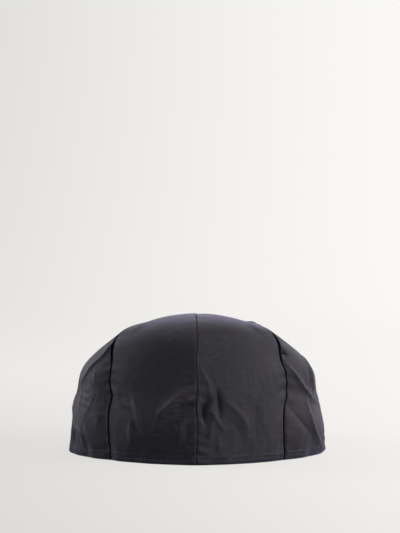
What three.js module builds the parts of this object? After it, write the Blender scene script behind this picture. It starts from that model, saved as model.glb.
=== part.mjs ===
// An eight-panel flat cap in waxed cotton, lying on its rim as it rests on a table.
// Eight sewn panels rise from the hem to a covered button. The front panels are drawn down over a
// stiff, cloth-covered peak. Millimetres, +Z up, the peak points along -Y, and the back seam is at +Y.
// The origin lies on the table, under the middle of the cap.
import * as THREE from "three";

// Cloth and sewing
const CLOTH = 1.6; // wall of the crown, outer cloth and backing together
const HEM_WALL = 2.8; // the turned-up edge, where the cloth is doubled
const HEM_HEIGHT = 5;
const HEM_STEP = 0.5; // how far the doubled edge stands out from the wall above it
const HEM_SHOULDER = 1.5; // height over which it steps back
const SEAM_GAP = 0.3; // between two sewn panels
const SEAM_DEPTH = 1.6; // how far the cloth dips into a seam
const SEAM_WIDTH = 2.8; // from the seam's middle to where the dip fades
const PANEL_PUFF = 1.8; // how far a panel's middle stands out between its seams
const SEAM_FADE = 24; // narrower than this, towards the button, a panel has shallower seams
const FOLD_STOP = 4; // a fold fades out over this distance from a seam

// Places along Y, from the centre of the head opening
const OPENING_Y = 30.5; // the opening's centre, behind the middle of the cap

// Peak: a stiff crescent, bent across the forehead and sloping down to the front
const PEAK_THICKNESS = 3.4;
const PEAK_FRONT = -156.9;
const PEAK_INNER_FRONT = -100; // the middle of its inner edge
const PEAK_CORNER = -58; // where its two ends lie
const PEAK_HALF_WIDTH = 85;
const PEAK_TIP = 2.8; // width of its two ends
const PEAK_FRONT_RISE = 7.3; // its lower face above the table, at the front edge
const PEAK_SLOPE = 0.14;
const PEAK_ARCH_RADIUS = 190;
const PEAK_GAP = 0.3; // between the peak and the crown's edge on it
const EDGE_RAMP_TOP = -50; // the crown's edge lies on the peak forward of here
const EDGE_RAMP = 30; // and comes down to the table over this length behind it
const EDGE_LIFT_FADE = 0.16; // share of the way up the wall that the ramp reaches

// Button: a small dome over the point where the eight panels end
const BUTTON_RADIUS = 8.6;
const BUTTON_HEIGHT = 3.8;
const BUTTON_SEAT = 0.5; // its underside above the ring where the panels end

// The crown in ten sections, evenly spaced in cloth from its lower edge up to the button. Each one is
// an egg-shaped ring: its half width, then y and z at the back, at the widest place and at the front.
const SECTIONS = [
  { half: 92.6, yBack: 95, ySide: 8, yFront: -145, zBack: -0.15, zSide: 0.8, zFront: 14 },
  { half: 91.2, yBack: 95.8, ySide: 8, yFront: -143, zBack: 16, zSide: 16, zFront: 22 },
  { half: 88.4, yBack: 96, ySide: 7, yFront: -136, zBack: 32, zSide: 31, zFront: 33 },
  { half: 84.5, yBack: 95.6, ySide: 6, yFront: -124, zBack: 49, zSide: 46, zFront: 45 },
  { half: 82.1, yBack: 94.6, ySide: 3, yFront: -109, zBack: 66, zSide: 57.6, zFront: 57 },
  { half: 74.7, yBack: 92.2, ySide: -1, yFront: -92, zBack: 81.5, zSide: 68, zFront: 67.5 },
  { half: 63, yBack: 84, ySide: -6, yFront: -75, zBack: 93.4, zSide: 77.7, zFront: 76.5 },
  { half: 48, yBack: 59, ySide: -12, yFront: -58, zBack: 100.2, zSide: 87.6, zFront: 84.2 },
  { half: 27.5, yBack: 20, ySide: -18, yFront: -41, zBack: 98.8, zSide: 92.3, zFront: 89 },
  { half: 5.5, yBack: -16.5, ySide: -22, yFront: -27.5, zBack: 92.6, zSide: 91.6, zFront: 90.6 },
];
// The same ten rings behind their widest place. Above 2, "square" makes the corners fuller as seen from
// behind, and "flat" as seen from above. "point" is how far the ring is drawn out at the back seam.
const BACK_FORM = [
  { square: 1.72, flat: 2, point: 0.12 },
  { square: 1.9, flat: 2.25, point: 0.15 },
  { square: 2.1, flat: 2.65, point: 0.19 },
  { square: 2.4, flat: 3.1, point: 0.23 },
  { square: 2.5, flat: 3.7, point: 0.25 },
  { square: 2.4, flat: 4.2, point: 0.23 },
  { square: 2.25, flat: 4.6, point: 0.17 },
  { square: 2.13, flat: 3.8, point: 0.08 },
  { square: 2.03, flat: 2.6, point: 0 },
  { square: 2, flat: 2, point: 0 },
];
const MERIDIAN = 150; // cloth from the hem to the button, at the pace of the sections low on the back

// The two seams beside the back panels wander: their turns, in degrees round from the back towards the
// wearer's left (+X), at even steps up the wall.
const REAR_SEAMS = [
  { left: 43.6, right: 316.3 },
  { left: 43.4, right: 317 },
  { left: 43.4, right: 316.6 },
  { left: 42.6, right: 314.8 },
  { left: 44.5, right: 314.4 },
  { left: 51.5, right: 308 },
  { left: 56.5, right: 303 },
  { left: 54, right: 305.5 },
  { left: 46, right: 314 },
];

// The panels, going round from the back seam. Each runs between two seams, given by one turn or by a
// column of the table above, and has its own fineness of facets.
const PANELS = [
  { name: "back_panel_left", from: 0, to: "left", columns: 16, rows: 22 },
  { name: "rear_side_panel_left", from: "left", to: 88, columns: 16, rows: 22 },
  { name: "front_side_panel_left", from: 88, to: 134, columns: 10, rows: 18 },
  { name: "front_panel_left", from: 134, to: 180, columns: 10, rows: 18 },
  { name: "front_panel_right", from: 180, to: 226, columns: 10, rows: 18 },
  { name: "front_side_panel_right", from: 226, to: 272, columns: 10, rows: 18 },
  { name: "rear_side_panel_right", from: 272, to: "right", columns: 16, rows: 22 },
  { name: "back_panel_right", from: "right", to: 360, columns: 16, rows: 22 },
];

// The main folds, each a straight run between two places. "width" is the distance from its middle at
// which it has faded to a third, and "height" is negative for a crease.
const FOLDS = [
  { fromTurn: 358, fromRise: 0.46, toTurn: 351.5, toRise: 0.28, width: 4, height: 1.9 },
  { fromTurn: 349.6, fromRise: 0.37, toTurn: 348.6, toRise: 0.2, width: 4, height: -2.4 },
  { fromTurn: 346.5, fromRise: 0.31, toTurn: 335.5, toRise: 0.14, width: 5, height: 1.8 },
  { fromTurn: 356.2, fromRise: 0.29, toTurn: 354.8, toRise: 0.19, width: 3.5, height: -1.8 },
  { fromTurn: 341.2, fromRise: 0.2, toTurn: 337, toRise: 0.07, width: 3.5, height: -1.2 },
  { fromTurn: 41.5, fromRise: 0.34, toTurn: 33, toRise: 0.26, width: 3.6, height: 1.6 },
  { fromTurn: 29.8, fromRise: 0.3, toTurn: 23.2, toRise: 0.14, width: 4, height: 1.5 },
  { fromTurn: 17.5, fromRise: 0.25, toTurn: 1.5, toRise: 0.365, width: 5, height: 1.9 },
  { fromTurn: 8, fromRise: 0.24, toTurn: 1.5, toRise: 0.29, width: 3.5, height: -1.8 },
  { fromTurn: 7.6, fromRise: 0.19, toTurn: 6.6, toRise: 0.06, width: 3.5, height: 1.2 },
  { fromTurn: 50, fromRise: 0.57, toTurn: 63, toRise: 0.41, width: 7, height: -1.2 },
  { fromTurn: 70, fromRise: 0.62, toTurn: 71, toRise: 0.38, width: 5, height: 1.4 },
  { fromTurn: 70, fromRise: 0.15, toTurn: 60, toRise: 0.05, width: 4, height: 1.8 },
  { fromTurn: 313, fromRise: 0.46, toTurn: 288, toRise: 0.28, width: 4.5, height: 2 },
  { fromTurn: 290, fromRise: 0.54, toTurn: 276, toRise: 0.31, width: 4.5, height: 1.6 },
  { fromTurn: 281, fromRise: 0.78, toTurn: 264, toRise: 0.84, width: 7, height: 2.2 },
  { fromTurn: 300, fromRise: 0.26, toTurn: 282, toRise: 0.02, width: 4.5, height: 2 },
  { fromTurn: 313, fromRise: 0.29, toTurn: 298.5, toRise: 0.1, width: 5, height: -1.6 },
  { fromTurn: 118, fromRise: 0.16, toTurn: 102, toRise: 0.42, width: 7, height: 1.8 },
  { fromTurn: 128, fromRise: 0.14, toTurn: 118, toRise: 0.5, width: 7, height: -1.4 },
  { fromTurn: 241, fromRise: 0.15, toTurn: 255, toRise: 0.45, width: 7, height: 1.7 },
  { fromTurn: 231, fromRise: 0.14, toTurn: 242, toRise: 0.5, width: 7, height: -1.4 },
];
const TURN_WIDTH = 1.62; // millimetres of wall to one degree of turn

const radians = THREE.MathUtils.degToRad;
const clamp = THREE.MathUtils.clamp;
const lerp = THREE.MathUtils.lerp;
const ease = (x) => THREE.MathUtils.smoothstep(x, 0, 1);

// A smooth curve through the values of one column of evenly spaced rows.
function column(rows, name, share) {
  const place = clamp(share, 0, 1) * (rows.length - 1);
  const i = Math.min(Math.floor(place), rows.length - 2);
  const t = place - i;
  const value = (k) => rows[clamp(k, 0, rows.length - 1)][name];
  const startSlope = i === 0 ? value(1) - value(0) : (value(i + 1) - value(i - 1)) / 2;
  const endSlope = i === rows.length - 2 ? value(i + 1) - value(i) : (value(i + 2) - value(i)) / 2;
  const t2 = t * t;
  const t3 = t2 * t;
  return (
    value(i) * (2 * t3 - 3 * t2 + 1) +
    startSlope * (t3 - 2 * t2 + t) +
    value(i + 1) * (3 * t2 - 2 * t3) +
    endSlope * (t3 - t2)
  );
}

// The top face of the peak, at a place in the cap's own frame.
function peakTop(x, y) {
  const arch = (x * x) / (2 * PEAK_ARCH_RADIUS);
  return PEAK_FRONT_RISE + PEAK_THICKNESS - arch + PEAK_SLOPE * (y - OPENING_Y - PEAK_FRONT);
}

// A point of the smooth crown, before seams and folds: "turn" in degrees from the back, "rise" from 0
// at the hem to 1 at the button. The lower edge leaves the table to lie on the peak.
function crownPoint(turn, rise) {
  const s = Math.sin(radians(turn));
  const c = Math.cos(radians(turn));
  const get = (name) => column(SECTIONS, name, rise);
  const square = c > 0 ? column(BACK_FORM, "square", rise) : 2;
  const flat = c > 0 ? column(BACK_FORM, "flat", rise) : 2;
  const out = Math.abs(s) * Math.pow(Math.abs(s) ** square + Math.abs(c) ** square, -1 / square);
  const point = c > 0 ? column(BACK_FORM, "point", rise) : 0;
  const along = (1 - point * out) * Math.pow(Math.max(1 - out ** flat, 0), 1 / flat);
  const ends = c > 0 ? ["yBack", "zBack"] : ["yFront", "zFront"];
  const x = get("half") * Math.sign(s) * out;
  const y = get("ySide") + (get(ends[0]) - get("ySide")) * along;
  const z = get("zSide") + (get(ends[1]) - get("zSide")) * (1 - Math.abs(s) ** square);
  return new THREE.Vector3(x, y + OPENING_Y, Math.max(z, 0));
}

// How far a point of the wall is lifted so that the lower edge lies on the peak; the lift fades out
// up the wall.
function liftOnPeak(point, turn, rise) {
  const near = ease((EDGE_RAMP_TOP + EDGE_RAMP - (point.y - OPENING_Y)) / EDGE_RAMP);
  const lift = peakTop(point.x, point.y) + PEAK_GAP - crownPoint(turn, 0).z;
  return near * lift * (1 - ease(rise / EDGE_LIFT_FADE));
}

// The way out of the wall. It is taken over a few degrees, so that it turns gently past the back seam.
function crownNormal(turn, rise) {
  const r = clamp(rise, 0.004, 0.992);
  const around = crownPoint(turn + 2, r).sub(crownPoint(turn - 2, r));
  const up = crownPoint(turn, r + 0.004).sub(crownPoint(turn, r - 0.004));
  return up.cross(around).normalize();
}

function seamTurn(seam, rise) {
  return typeof seam === "number" ? seam : column(REAR_SEAMS, seam, rise);
}

// The height of one fold at a place on the wall; it tapers off at both ends of its run.
function foldHeight(fold, turn, rise) {
  const runX = (fold.toTurn - fold.fromTurn) * TURN_WIDTH;
  const runY = (fold.toRise - fold.fromRise) * MERIDIAN;
  const x = (turn - fold.fromTurn) * TURN_WIDTH;
  const y = (rise - fold.fromRise) * MERIDIAN;
  const along = clamp((x * runX + y * runY) / (runX * runX + runY * runY), 0, 1);
  const distance = Math.hypot(x - along * runX, y - along * runY);
  const taper = 0.35 + 0.65 * Math.sin(Math.PI * along);
  return fold.height * taper * Math.exp(-((distance / fold.width) ** 2));
}

// How far the cloth stands out from the smooth crown: down into the seams, out between them, out at
// the doubled hem, and in and out with the folds.
function relief(turn, share, width, rise) {
  const toSeam = Math.min(share, 1 - share) * width;
  const dip = -SEAM_DEPTH * Math.exp(-((toSeam / SEAM_WIDTH) ** 2)) * clamp(width / SEAM_FADE, 0, 1);
  const puff = PANEL_PUFF * 4 * share * (1 - share) * Math.sin(Math.PI * clamp(rise * 1.1, 0, 1));
  const hem = HEM_STEP * (1 - ease((rise * MERIDIAN - HEM_HEIGHT) / HEM_SHOULDER));
  const folds = FOLDS.reduce((sum, fold) => sum + foldHeight(fold, turn, rise), 0);
  return dip + puff + hem + folds * ease(toSeam / FOLD_STOP);
}

// A closed solid from two grids of points: the outer face, and the inner face behind it.
function shell(outer, inner) {
  const rows = outer.length;
  const columns = outer[0].length;
  const points = [...outer.flat(), ...inner.flat()];
  const index = [];
  const at = (side, r, c) => side * rows * columns + r * columns + c;
  const quad = (a, b, c, d) => index.push(a, c, b, a, d, c);
  for (let r = 0; r < rows - 1; r++) {
    for (let c = 0; c < columns - 1; c++) {
      quad(at(0, r, c), at(0, r, c + 1), at(0, r + 1, c + 1), at(0, r + 1, c));
      quad(at(1, r, c), at(1, r + 1, c), at(1, r + 1, c + 1), at(1, r, c + 1));
    }
  }
  const top = rows - 1;
  const last = columns - 1;
  for (let c = 0; c < last; c++) {
    quad(at(0, 0, c), at(1, 0, c), at(1, 0, c + 1), at(0, 0, c + 1));
    quad(at(0, top, c), at(0, top, c + 1), at(1, top, c + 1), at(1, top, c));
  }
  for (let r = 0; r < top; r++) {
    quad(at(0, r, 0), at(0, r + 1, 0), at(1, r + 1, 0), at(1, r, 0));
    quad(at(0, r, last), at(1, r, last), at(1, r + 1, last), at(0, r + 1, last));
  }
  const geometry = new THREE.BufferGeometry();
  const numbers = points.flatMap((p) => p.toArray());
  geometry.setAttribute("position", new THREE.Float32BufferAttribute(numbers, 3));
  geometry.setIndex(index);
  geometry.computeVertexNormals();
  return geometry;
}

// The heights, as shares of the way up, at which a panel's facets meet: two for the hem, then even.
function facetRises(rows) {
  const hem = HEM_HEIGHT / MERIDIAN;
  const above = hem + HEM_SHOULDER / MERIDIAN;
  const list = [0, hem, above];
  for (let i = 1; i <= rows; i++) list.push(lerp(above, 1, i / rows));
  return list;
}

// Places across a panel: closer together beside the seams, and even where the panel is narrow.
function facetShares(columns, width) {
  const margin = SEAM_GAP / 2 / width;
  const crowd = clamp((width - 10) / 30, 0, 1);
  const list = [];
  for (let i = 0; i <= columns; i++) {
    const crowded = 0.5 - 0.5 * Math.cos((Math.PI * i) / columns);
    list.push(lerp(margin, 1 - margin, lerp(i / columns, crowded, crowd)));
  }
  return list;
}

function makePanel(panel) {
  const outer = [];
  const inner = [];
  for (const rise of facetRises(panel.rows)) {
    const from = seamTurn(panel.from, rise);
    const to = seamTurn(panel.to, rise);
    const middle = crownPoint((from + to) / 2, rise);
    const width = crownPoint(from, rise).distanceTo(middle) + crownPoint(to, rise).distanceTo(middle);
    const wall = rise * MERIDIAN < HEM_HEIGHT + 0.1 ? HEM_WALL : CLOTH;
    const outerRow = [];
    const innerRow = [];
    for (const share of facetShares(panel.columns, width)) {
      const turn = lerp(from, to, share);
      const normal = crownNormal(turn, rise);
      if (rise === 0) normal.setZ(0).normalize();
      const point = crownPoint(turn, rise).addScaledVector(normal, relief(turn, share, width, rise));
      const behind = point.clone().addScaledVector(normal, -wall);
      point.z += liftOnPeak(point, turn, rise);
      behind.z += liftOnPeak(behind, turn, rise);
      outerRow.push(point);
      innerRow.push(behind);
    }
    outer.push(outerRow);
    inner.push(innerRow);
  }
  return shell(outer, inner);
}

// The peak in strips from its inner edge to its outer edge. "thick" thins it towards both edges.
const PEAK_STRIPS = [
  { across: 0, thick: 0.35 },
  { across: 0.05, thick: 0.85 },
  { across: 0.16, thick: 1 },
  { across: 0.38, thick: 1 },
  { across: 0.62, thick: 1 },
  { across: 0.84, thick: 1 },
  { across: 0.95, thick: 0.85 },
  { across: 1, thick: 0.35 },
];
const PEAK_STEPS = 34;

function makePeak() {
  const top = [];
  const bottom = [];
  for (let i = 0; i <= PEAK_STEPS; i++) {
    const angle = radians(lerp(90, -90, i / PEAK_STEPS));
    const innerX = (PEAK_HALF_WIDTH - PEAK_TIP) * Math.sin(angle);
    const innerY = PEAK_CORNER + (PEAK_INNER_FRONT - PEAK_CORNER) * Math.cos(angle);
    const outerX = PEAK_HALF_WIDTH * Math.sin(angle);
    const outerY = PEAK_CORNER + (PEAK_FRONT - PEAK_CORNER) * Math.cos(angle);
    const stiffness = PEAK_THICKNESS * lerp(0.5, 1, ease(Math.cos(angle) / 0.35));
    const topRow = [];
    const bottomRow = [];
    for (const strip of PEAK_STRIPS) {
      const x = lerp(innerX, outerX, strip.across);
      const y = lerp(innerY, outerY, strip.across) + OPENING_Y;
      const bevel = (stiffness / 2) * (1 - strip.thick);
      topRow.push(new THREE.Vector3(x, y, peakTop(x, y) - bevel));
      bottomRow.push(new THREE.Vector3(x, y, peakTop(x, y) - stiffness + bevel));
    }
    top.push(topRow);
    bottom.push(bottomRow);
  }
  return shell(top, bottom);
}

// The button's outline, from the middle of its underside to its crest. "out" and "up" are shares of
// its radius and of its height.
const BUTTON_OUTLINE = [
  { out: 0, up: 0 },
  { out: 0.9, up: 0 },
  { out: 1, up: 0.22 },
  { out: 0.97, up: 0.5 },
  { out: 0.82, up: 0.78 },
  { out: 0.55, up: 0.94 },
  { out: 0.25, up: 1 },
  { out: 0, up: 1 },
];
const BUTTON_SIDES = 20;

// The button lies along the crown, which slopes forward there.
function makeButton() {
  const back = crownPoint(0, 1);
  const front = crownPoint(180, 1);
  const slope = Math.atan2(back.z - front.z, back.y - front.y);
  const outline = BUTTON_OUTLINE.map(
    ({ out, up }) => new THREE.Vector2(out * BUTTON_RADIUS, BUTTON_SEAT + up * BUTTON_HEIGHT),
  );
  const geometry = new THREE.LatheGeometry(outline, BUTTON_SIDES);
  geometry.rotateX(Math.PI / 2 + slope);
  geometry.translate(0, (back.y + front.y) / 2, (back.z + front.z) / 2);
  return geometry;
}

const navyCloth = new THREE.MeshStandardMaterial({ color: 0x2b2b33, roughness: 0.62, metalness: 0 });

function piece(name, geometry) {
  const mesh = new THREE.Mesh(geometry, navyCloth.clone());
  mesh.name = name;
  return mesh;
}

const cap = new THREE.Group();
for (const panel of PANELS) cap.add(piece(panel.name, makePanel(panel)));
cap.add(piece("peak", makePeak()));
cap.add(piece("button", makeButton()));

export default cap;
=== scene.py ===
import bpy
import math
import numpy as np
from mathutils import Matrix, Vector


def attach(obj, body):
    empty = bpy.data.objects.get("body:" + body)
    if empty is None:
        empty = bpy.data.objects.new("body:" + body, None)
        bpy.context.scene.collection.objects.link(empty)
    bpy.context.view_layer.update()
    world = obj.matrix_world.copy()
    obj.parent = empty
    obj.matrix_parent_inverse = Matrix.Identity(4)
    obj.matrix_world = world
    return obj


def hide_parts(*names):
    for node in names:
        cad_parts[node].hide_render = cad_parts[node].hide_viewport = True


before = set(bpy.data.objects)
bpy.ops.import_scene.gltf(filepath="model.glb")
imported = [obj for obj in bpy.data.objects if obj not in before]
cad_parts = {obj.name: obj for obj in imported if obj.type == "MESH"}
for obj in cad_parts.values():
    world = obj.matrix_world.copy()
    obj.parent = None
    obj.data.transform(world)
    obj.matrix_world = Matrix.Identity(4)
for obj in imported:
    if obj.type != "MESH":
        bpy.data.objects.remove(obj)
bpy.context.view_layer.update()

# THE CROWN PANELS
# Eight pieces of waxed cotton, dark navy and near black, sewn edge to edge. Together they make one
# domed form, nearly upright at the back and running down over the peak in front. In millimetres.
PANELS = [
    {"name": "back_panel_left", "columns": 120, "rows": 190},
    {"name": "rear_side_panel_left", "columns": 110, "rows": 170},
    {"name": "front_side_panel_left", "columns": 96, "rows": 130},
    {"name": "front_panel_left", "columns": 90, "rows": 120},
    {"name": "front_panel_right", "columns": 90, "rows": 120},
    {"name": "front_side_panel_right", "columns": 96, "rows": 130},
    {"name": "rear_side_panel_right", "columns": 110, "rows": 170},
    {"name": "back_panel_right", "columns": 120, "rows": 190},
]
# The head's opening lies behind the middle of the part. A meridian is the cloth from hem to button,
# and a turn's width is the cloth in one degree round the hem.
OPENING_Y = 30.5
MERIDIAN = 150.0
TURN_WIDTH = 1.62
# The crown in even steps from hem to button: half its width, where its back, side and front are, and
# how square, flat and pointed its back is in plan.
SECTIONS = {
    "half": [92.6, 91.2, 88.4, 84.5, 82.1, 74.7, 63, 48, 27.5, 5.5],
    "y_back": [95, 95.8, 96, 95.6, 94.6, 92.2, 84, 59, 20, -16.5],
    "y_side": [8, 8, 7, 6, 3, -1, -6, -12, -18, -22],
    "y_front": [-145, -143, -136, -124, -109, -92, -75, -58, -41, -27.5],
    "z_back": [-0.15, 16, 32, 49, 66, 81.5, 93.4, 100.2, 98.8, 92.6],
    "z_side": [0.8, 16, 31, 46, 57.6, 68, 77.7, 87.6, 92.3, 91.6],
    "z_front": [14, 22, 33, 45, 57, 67.5, 76.5, 84.2, 89, 90.6],
    "square": [1.72, 1.9, 2.1, 2.4, 2.5, 2.4, 2.25, 2.13, 2.03, 2],
    "flat": [2, 2.25, 2.65, 3.1, 3.7, 4.2, 4.6, 3.8, 2.6, 2],
    "point": [0.12, 0.15, 0.19, 0.23, 0.25, 0.23, 0.17, 0.08, 0, 0],
}


def smooth_curve(values, share):
    """The natural cubic spline through evenly spaced values, at a share from 0 to 1."""
    values = np.asarray(values, float)
    last = len(values) - 1
    matrix, right = np.eye(last + 1), np.zeros(last + 1)
    for i in range(1, last):
        matrix[i, i - 1:i + 2] = 1, 4, 1
        right[i] = 6 * (values[i - 1] - 2 * values[i] + values[i + 1])
    bend = np.linalg.solve(matrix, right)
    place = np.clip(share, 0, 1) * last
    i = np.minimum(np.floor(place).astype(int), last - 1)
    t = place - i
    u = 1 - t
    curve = ((u ** 3 - u) * bend[i] + (t ** 3 - t) * bend[i + 1]) / 6
    return u * values[i] + t * values[i + 1] + curve


def ease(x):
    x = np.clip(x, 0, 1)
    return x * x * (3 - 2 * x)


def bell(distance, width):
    return np.exp(-((distance / width) ** 2))


def band(x, start, rising, end, falling):
    """0 outside a band and 1 inside it, with a smooth change at both sides."""
    return ease((x - start) / rising) * (1 - ease((x - end) / falling))


def crown_form(turn, rise):
    """The smooth crown, at a turn in degrees from the back and a rise from 0, hem, to 1, button."""
    turn, rise = np.broadcast_arrays(np.asarray(turn, float), np.asarray(rise, float))
    s, c = np.sin(np.radians(turn)), np.cos(np.radians(turn))
    at = {name: smooth_curve(values, rise) for name, values in SECTIONS.items()}
    behind = c > 0
    square = np.where(behind, at["square"], 2.0)
    flat = np.where(behind, at["flat"], 2.0)
    out = np.abs(s) * (np.abs(s) ** square + np.abs(c) ** square) ** (-1 / square)
    point = np.where(behind, at["point"], 0.0)
    along = (1 - point * out) * np.clip(1 - out ** flat, 0, 1) ** (1 / flat)
    y_end = np.where(behind, at["y_back"], at["y_front"])
    z_end = np.where(behind, at["z_back"], at["z_front"])
    x = at["half"] * np.sign(s) * out
    y = at["y_side"] + (y_end - at["y_side"]) * along + OPENING_Y
    z = at["z_side"] + (z_end - at["z_side"]) * (1 - np.abs(s) ** square)
    return np.stack([x, y, np.maximum(z, 0)], axis=-1)


TURN_STEP, RISE_STEP, HIGHEST = 2, 0.004, 0.992


def crown_normal(turn, rise):
    inside = np.clip(rise, RISE_STEP, HIGHEST)
    around = crown_form(turn + TURN_STEP, inside) - crown_form(turn - TURN_STEP, inside)
    up = crown_form(turn, inside + RISE_STEP) - crown_form(turn, inside - RISE_STEP)
    normal = np.cross(up, around)
    return normal / np.linalg.norm(normal, axis=-1, keepdims=True)


# The seams are felled inside, so outside each is a narrow groove between two rolled edges. "gap" is
# half the groove, and "open" is what the rear ones add at the crown's upper corners. "roll" and "depth"
# size the edges, "pull" is how far the thread draws the cloth in, and "corner" is a ridge up there.
BACK_LEFT = {"gap": 0.1, "open": 0.0, "roll": 1.3, "depth": 1.2, "pull": -0.35, "corner": 0.0}
BACK_RIGHT = {"gap": 0.1, "open": 0.0, "roll": 0.7, "depth": 0.5, "pull": 0.1, "corner": 0.0}
REAR_SEAM = {"gap": 0.28, "open": 0.9, "roll": 1.8, "depth": 1.7, "pull": 0.7, "corner": 2.8}
FRONT_SEAM = {"gap": 0.12, "open": 0.0, "roll": 1.6, "depth": 1.3, "pull": 0.6, "corner": 0.0}
# The two rear seams wander, so each has its turns at even steps up the crown.
REAR_LEFT = [43.6, 43.3, 43, 43.2, 42.8, 41.1, 42.7, 42.7, 44.2,
             47.9, 52.4, 60.5, 69.5, 69, 65, 60, 55]
REAR_RIGHT = [315.9, 316.6, 317.3, 317.7, 317.6, 316.1, 315.4, 315.5, 316.1,
              313.3, 309.2, 302, 291.5, 291.5, 295, 300, 305]
SEAMS = [{**BACK_LEFT, "turns": [0, 0]}, {**REAR_SEAM, "turns": REAR_LEFT},
         {**FRONT_SEAM, "turns": [88, 88]}, {**FRONT_SEAM, "turns": [134, 134]},
         {**FRONT_SEAM, "turns": [180, 180]}, {**FRONT_SEAM, "turns": [226, 226]},
         {**FRONT_SEAM, "turns": [272, 272]}, {**REAR_SEAM, "open": 1.1, "turns": REAR_RIGHT},
         {**BACK_RIGHT, "turns": [360, 360]}]
PULL_WIDTH, CORNER_WIDTH = 9.0, 10.0
PUCKER = {"height": 0.4, "reach": 5.5, "slant": 0.3,
          "tight": 0.35, "tight_from": 0.3, "tight_over": 0.35}
PANEL_PUFF, PUFF_RISE = 1.8, 1.1
SWAY = 0.25
SWAY_BAND = {"start": 0, "rising": 0.05, "end": 0.7, "falling": 0.25}
OPEN_BAND = {"start": 0.46, "rising": 0.12, "end": 0.76, "falling": 0.12}
CORNER_BAND = {"start": 0.48, "rising": 0.16, "end": 0.76, "falling": 0.14}
OPEN_DEEPER = 2
SEAM_ROUNDNESS, HEM_ROUNDNESS = 0.97, 0.98
# How far the painted shade beside a seam's groove reaches.
PAINTED_SHADE_REACH = 0.5


def wavering_line(seed, wavelength):
    """A smooth random line of about unit height, along a distance in millimetres."""
    chance = np.random.default_rng(seed)
    heights = chance.normal(size=9) / 3
    lengths = wavelength * chance.uniform(0.7, 1.6, size=9)
    starts = chance.uniform(0, 2 * math.pi, size=9)
    return lambda distance: sum(h * np.sin(2 * math.pi * distance / length + start)
                                for h, length, start in zip(heights, lengths, starts))


SEAM_SWAY = [wavering_line(20 + k % 8, 26) for k in range(9)]
SEAM_PUCKER = [wavering_line(50 + k % 8, 8.5) for k in range(9)]


def seam_turn(k, rise):
    sway = SWAY * band(rise, **SWAY_BAND) * SEAM_SWAY[k](rise * MERIDIAN)
    return smooth_curve(SEAMS[k]["turns"], rise) + sway


def seam_gap(k, rise):
    """Half the width of a seam's groove."""
    return SEAMS[k]["gap"] + SEAMS[k]["open"] * band(rise, **OPEN_BAND)


def panel_width(k, rise):
    start, end = crown_form(seam_turn(k, rise), rise), crown_form(seam_turn(k + 1, rise), rise)
    middle = crown_form((seam_turn(k, rise) + seam_turn(k + 1, rise)) / 2, rise)
    return np.linalg.norm(start - middle, axis=-1) + np.linalg.norm(end - middle, axis=-1)


def seam_relief(k, to_seam, rise):
    """The rolled edge beside seam k, the pull and puckers of its thread, and its ridge at a corner."""
    seam = SEAMS[k]
    over = np.clip(1 - to_seam / seam["roll"], 0, 1)
    depth = seam["depth"] * (1 + OPEN_DEEPER * (seam_gap(k, rise) - seam["gap"]))
    roll = -depth * (1 - np.sqrt(1 - SEAM_ROUNDNESS * over ** 2))
    loose = 1 - ease((rise - PUCKER["tight_from"]) / PUCKER["tight_over"])
    loose = PUCKER["tight"] + (1 - PUCKER["tight"]) * loose
    pucker = SEAM_PUCKER[k](rise * MERIDIAN + PUCKER["slant"] * to_seam)
    pucker = pucker * np.exp(-to_seam / PUCKER["reach"])
    corner = seam["corner"] * band(rise, **CORNER_BAND)
    return (roll - seam["pull"] * bell(to_seam, PULL_WIDTH) + corner * bell(to_seam, CORNER_WIDTH)
            + PUCKER["height"] * loose * pucker * ease(to_seam))


def painted_seam_shade(k, to_seam, rise):
    """The painted shade along a seam's edges: darkest in its groove, fading out beside it."""
    return SEAMS[k]["depth"] * np.exp(-np.maximum(to_seam - seam_gap(k, rise), 0) / PAINTED_SHADE_REACH)


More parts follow.
